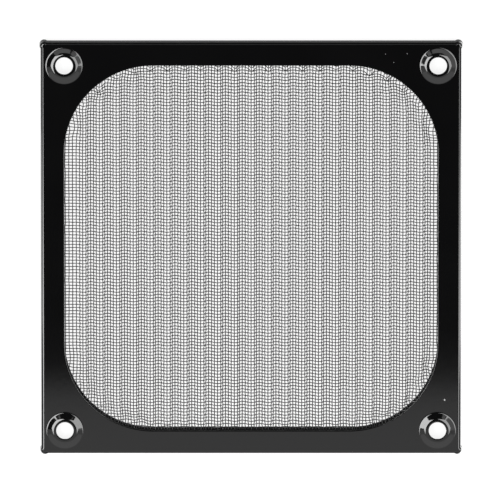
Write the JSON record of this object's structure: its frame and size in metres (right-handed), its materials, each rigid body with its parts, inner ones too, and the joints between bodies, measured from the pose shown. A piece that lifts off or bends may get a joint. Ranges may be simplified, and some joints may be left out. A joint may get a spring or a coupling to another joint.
{
  "type": "fan dust filter",
  "caption": "Thin square fan dust filter: folded black aluminium frame with raised screw bosses and a large rounded window, clamping a corrugated woven wire mesh.",
  "frame": {"origin": "centre of the plane that the back hem lies in, under the middle of the window", "axes": "+Z out of the front face with the raised bosses, +Y along the mesh's corrugations, +X across them"},
  "size_m": [0.1188, 0.1188, 0.0045],
  "materials": {
    "black_frame": "semi-gloss black coating on folded aluminium sheet",
    "black_back_frame": "semi-gloss black coating on flat aluminium sheet",
    "black_mesh": "satin black coating on woven aluminium wire"
  },
  "bodies": {
    "root": {"front_frame": "black_frame", "back_frame": "black_back_frame", "filter_mesh": "black_mesh"}
  },
  "joints": []
}
